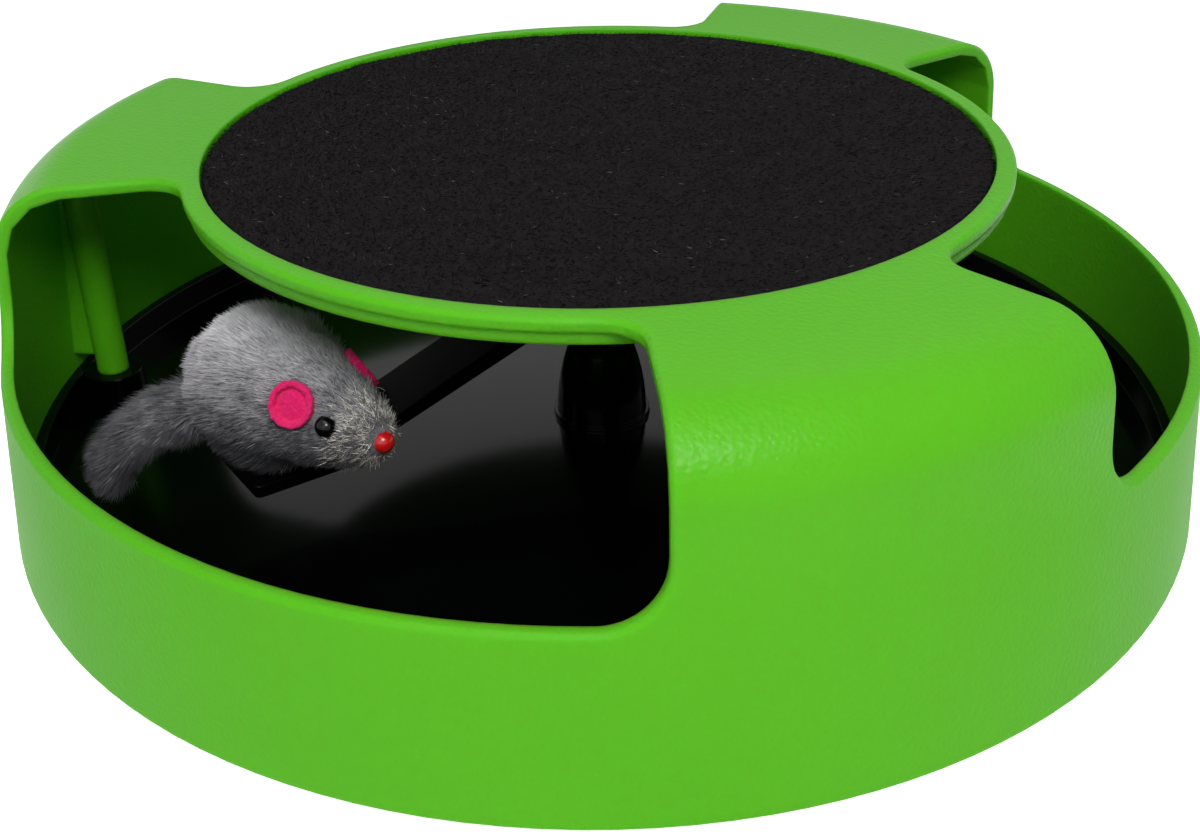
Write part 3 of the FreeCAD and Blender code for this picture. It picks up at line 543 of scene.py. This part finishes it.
def formThrough(name, stations, sides):
    deselectAll()
    centre, radius = stations[0]
    bpy.ops.mesh.primitive_circle_add(vertices=sides, radius=radius, fill_type="NGON",
                                      location=centre, rotation=(0, math.pi / 2, 0))
    form = started(name)
    bpy.ops.object.transform_apply(location=True, rotation=True, scale=True)
    bpy.ops.object.mode_set(mode="EDIT")
    bpy.ops.mesh.select_all(action="SELECT")
    for (fromCentre, fromRadius), (toCentre, toRadius) in zip(stations, stations[1:]):
        bpy.ops.mesh.extrude_region_move(
            TRANSFORM_OT_translate={"value": toCentre - fromCentre})
        bpy.ops.transform.resize(value=(toRadius / fromRadius,) * 3, center_override=toCentre)
    bpy.ops.mesh.select_all(action="SELECT")
    bpy.ops.mesh.normals_make_consistent(inside=False)
    bpy.ops.object.mode_set(mode="OBJECT")
    putInOrder(form)
    useModifier(form, "SUBSURF", levels=2, render_levels=2)
    return form


def plushSkin(name, shares):
    height = mouse["height"]
    stations = [(Vector((along * mouse["length"], 0, up * height)),
                 max(radius * height - mouse["skinDepth"], mouse["leastRadius"]))
                for along, up, radius in shares]
    skin = formThrough(name, stations, mouse["sides"])
    for vertex in skin.data.vertices:
        away = Vector((vertex.co.x, vertex.co.y)).length / mouse["bellyReach"]
        belly = mouse["bellyShare"] * height
        if away < 1 and vertex.co.z < belly:
            sag = (1 - away ** 2) * (1 - vertex.co.z / belly)
            vertex.co.z -= (vertex.co.z - mouse["bellyGap"]) * min(1, mouse["bellyPress"] * sag)
    return skin


def makePlushHalf(name, shares, node):
    skin = plushSkin(name, shares)
    finishPiece(skin, mousePlace, "grey_fur", node, "rotor")
    return skin


def makeTail():
    stations = [(Vector((share * tail["reach"], 0, 0)), tail["thickness"] / 2 * thick)
                for share, thick in tail["stations"]]
    strip = formThrough("mouseTail", stations, tail["sides"])
    root = mouseSpot(tail["root"])
    outward = Vector((math.cos(tailTurn), math.sin(tailTurn), 0))
    across = Vector((-outward.y, outward.x, 0))
    for vertex in strip.data.vertices:
        share = vertex.co.x / tail["reach"]
        bend = math.radians(90 * share)
        centre = root + outward * (tail["reach"] * math.sin(bend))
        centre.z -= tail["drop"] * (1 - math.cos(bend))
        along = outward * math.cos(bend) - Vector((0, 0, math.sin(bend)))
        wide = tail["width"] / tail["thickness"]
        vertex.co = centre + across * vertex.co.y * wide + along.cross(across) * vertex.co.z
    bpy.context.view_layer.objects.active = strip
    bpy.ops.object.mode_set(mode="EDIT")
    bpy.ops.mesh.select_all(action="SELECT")
    bpy.ops.mesh.normals_make_consistent(inside=False)
    finishPiece(strip, mousePlace, "grey_fur", "tail", "rotor")
    return strip


ear = {"sides": 56, "rim": 0.0011, "thick": 0.0018, "lip": 0.0002, "dish": 0.0011,
       "swell": 0.0005, "swellRing": 0.0012, "round": 0.00035, "fluff": 0.0002,
       "fluffScale": 1100}


def makeEar(name, node, side):
    radius, rim, thick = mouse["earRadius"], ear["rim"], ear["thick"]
    deselectAll()
    bpy.ops.mesh.primitive_cylinder_add(vertices=ear["sides"], radius=radius, depth=thick,
                                        location=(0, 0, thick / 2))
    felt = started(name)
    pickFaces(felt, lambda face: face.normal.z > 0.9)
    bpy.ops.mesh.inset(thickness=rim)
    bpy.ops.mesh.inset(thickness=ear["lip"])
    bpy.ops.transform.translate(value=(0, 0, -ear["dish"]))
    bpy.ops.mesh.inset(thickness=ear["swellRing"])
    bpy.ops.transform.translate(value=(0, 0, ear["swell"]))
    bpy.ops.mesh.poke()
    pickFaces(felt, lambda face: face.normal.z < -0.9)
    bpy.ops.mesh.inset(thickness=rim)
    bpy.ops.mesh.poke()
    bpy.ops.object.mode_set(mode="OBJECT")
    useModifier(felt, "BEVEL", width=ear["round"], segments=3, limit_method="ANGLE",
                angle_limit=math.radians(50))
    useModifier(felt, "SUBSURF", levels=1, render_levels=1)
    for vertex in felt.data.vertices:
        fluff = noise.fractal(vertex.co * ear["fluffScale"], 0.7, 2, 3)
        vertex.co += vertex.normal * ear["fluff"] * fluff
    out, lean = mouseSpot(mouse["earPlace"], side), Vector(mouse["earLean"])
    lean.y *= side
    out += lean.normalized() * mouse["earProud"]
    turn = lean.to_track_quat("Z", "Y").to_matrix().to_4x4()
    finishPiece(felt, mousePlace @ Matrix.Translation(out) @ turn, "pink_felt", node, "rotor")


bead = {"segments": 36, "rings": 22, "flat": 0.955, "lip": 0.05, "bore": 0.3}


def makeBead(name, place, radius, look, slot, node):
    cut = radius * bead["flat"]
    deselectAll()
    bpy.ops.mesh.primitive_uv_sphere_add(segments=bead["segments"], ring_count=bead["rings"],
                                         radius=radius)
    ball = started(name)
    putInOrder(ball)
    for end in (1, -1):
        pickFaces(ball, lambda face: face.center.z * end > cut)
        bpy.ops.transform.resize(value=(1, 1, 0), center_override=(0, 0, end * cut))
        bpy.ops.mesh.inset(thickness=radius * bead["lip"])
        bpy.ops.transform.translate(value=(0, 0, -end * radius * bead["bore"]))
    bpy.ops.object.mode_set(mode="OBJECT")
    turn = Vector(look).to_track_quat("Y", "Z").to_matrix().to_4x4()
    finishPiece(ball, mousePlace @ Matrix.Translation(place) @ turn, slot, node, "rotor")


# The plush hairs carry the painted light and shade by height; the carpet pile and snout hairs have
# none
furFinish = makeStrandFinish("plushHairs", (78, 77, 83), (216, 214, 218), (236, 234, 236),
                             {"sheen": 0.2, "gloss": 0.12, "contrast": 0.42, "mottle": 0.2,
                              "paintedHeightShade": 0.5, "flecked": 0.3})
snoutFinish = makeStrandFinish("snoutHairs", (98, 95, 91), (238, 234, 222), (250, 246, 236),
                               {"sheen": 0.1, "gloss": 0.12, "contrast": 1.2, "mottle": 0.6,
                                "paintedHeightShade": 0.0, "flecked": 0.5})
bodySkin = makePlushHalf("mouseBody", mouse["body"], "mouse_body")
headSkin = makePlushHalf("mouseHead", mouse["head"], "mouse_head")
tailSkin = makeTail()
keepClear = []
for side, word in ((1, "left"), (-1, "right")):
    makeEar(word + "Ear", word + "_ear", side)
    eyeSpot = mouseSpot(mouse["eyePlace"], side)
    makeBead(word + "Eye", eyeSpot, mouse["eyeRadius"],
             (mouse["eyeForward"], side, mouse["eyeUp"]), "black_bead", word + "_eye")
    keepClear.append((mousePlace @ mouseSpot(mouse["earPlace"], side),
                      mouse["earRadius"] * mouse["earClear"]))
    keepClear.append((mousePlace @ eyeSpot, mouse["eyeRadius"] * mouse["eyeClear"]))
noseSpot = mouseSpot(mouse["nosePlace"])
makeBead("noseBead", noseSpot, mouse["noseRadius"], mouse["noseLook"], "red_bead", "nose")
keepClear.append((mousePlace @ noseSpot, mouse["noseRadius"] * mouse["noseClear"]))
snout = (mousePlace @ mouseSpot(mouse["snoutPlace"]), mouse["snoutReach"])
for name, skin, finish, only in (("bodyFur", bodySkin, furFinish, None),
                                 ("headFur", headSkin, furFinish, None),
                                 ("snoutFur", headSkin, snoutFinish, snout),
                                 ("tailFur", tailSkin, furFinish, None)):
    fur = growStrands(name, skin, coats[name], finish, keepClear, only)
    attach(fur, "rotor")
print("mouse made")


# Camera, lamps, backdrop and floor

camera = {"azimuth": 36.54, "elevation": 24.77, "distance": 0.319, "aimHeight": 0.0358,
          "tiltDown": 30.18, "pan": 0.097, "roll": 1.057, "lens": 44.63, "sensor": 36,
          "nearest": 0.01}
light = {"sky": 0.2, "floorShine": 0.66, "floorSize": 4, "floorTone": (0.92, 0.92, 0.92, 1),
         "white": (1, 1, 1, 1), "aim": (0, 0, 0.03),
         "lamps": {"overhead": ((0.1, -0.25, 0.78), 0.5, 1.6),
                   "frontRight": ((0.32, -0.35, 0.5), 0.26, 2.5),
                   "front": ((0.231, -0.77, 0.386), 0.5, 0.5)}}


def placeCamera():
    azimuth = math.radians(camera["azimuth"])
    elevation = math.radians(camera["elevation"])
    back = Vector((math.sin(azimuth) * math.cos(elevation),
                   -math.cos(azimuth) * math.cos(elevation), math.sin(elevation)))
    place = Vector((0, 0, camera["aimHeight"])) + back * camera["distance"]
    turn = (Matrix.Rotation(azimuth + math.radians(camera["pan"]), 4, "Z")
            @ Matrix.Rotation(math.radians(90 - camera["tiltDown"]), 4, "X")
            @ Matrix.Rotation(math.radians(-camera["roll"]), 4, "Z"))
    data = bpy.data.cameras.new("photoCamera")
    data.lens = camera["lens"]
    data.sensor_width = camera["sensor"]
    data.clip_start = camera["nearest"]
    taker = bpy.data.objects.new("photoCamera", data)
    taker.matrix_world = Matrix.Translation(place) @ turn
    bpy.context.scene.collection.objects.link(taker)
    bpy.context.scene.camera = taker


def addLamp(name, place, size, power):
    data = bpy.data.lights.new(name, "AREA")
    data.shape = "DISK"
    data.size = size
    data.energy = power
    lamp = bpy.data.objects.new(name, data)
    lamp.location = place
    way = Vector(light["aim"]) - Vector(place)
    lamp.rotation_euler = way.to_track_quat("-Z", "Y").to_euler()
    bpy.context.scene.collection.objects.link(lamp)


def makeWorld():
    world = bpy.data.worlds.new("studio")
    bpy.context.scene.world = world
    world.use_nodes = True
    bench = Bench(world.node_tree)
    shown = bench.spread(raysSeen(bench), 0, 1, light["sky"], 1)
    backdrop = world.node_tree.nodes["Background"].inputs
    backdrop["Color"].default_value = light["white"]
    bench.plug(backdrop["Strength"], shown)


def makeFloor():
    deselectAll()
    bpy.ops.mesh.primitive_plane_add(size=light["floorSize"], location=(0, 0, 0))
    floor = started("floor")
    material, bench, shader = newFinish("paleFloor", **{"Roughness": 0.9,
                                                        "Specular IOR Level": 0.1})
    shader["Base Color"].default_value = light["floorTone"]
    shader["Emission Color"].default_value = light["white"]
    bench.plug(shader["Emission Strength"], raysSeen(bench) * light["floorShine"])
    floor.data.materials.append(material)


placeCamera()
for name, lamp in light["lamps"].items():
    addLamp(name + "Lamp", *lamp)
makeWorld()
makeFloor()
bpy.context.scene.view_settings.view_transform = "Standard"
print("studio made")

bpy.context.view_layer.update()
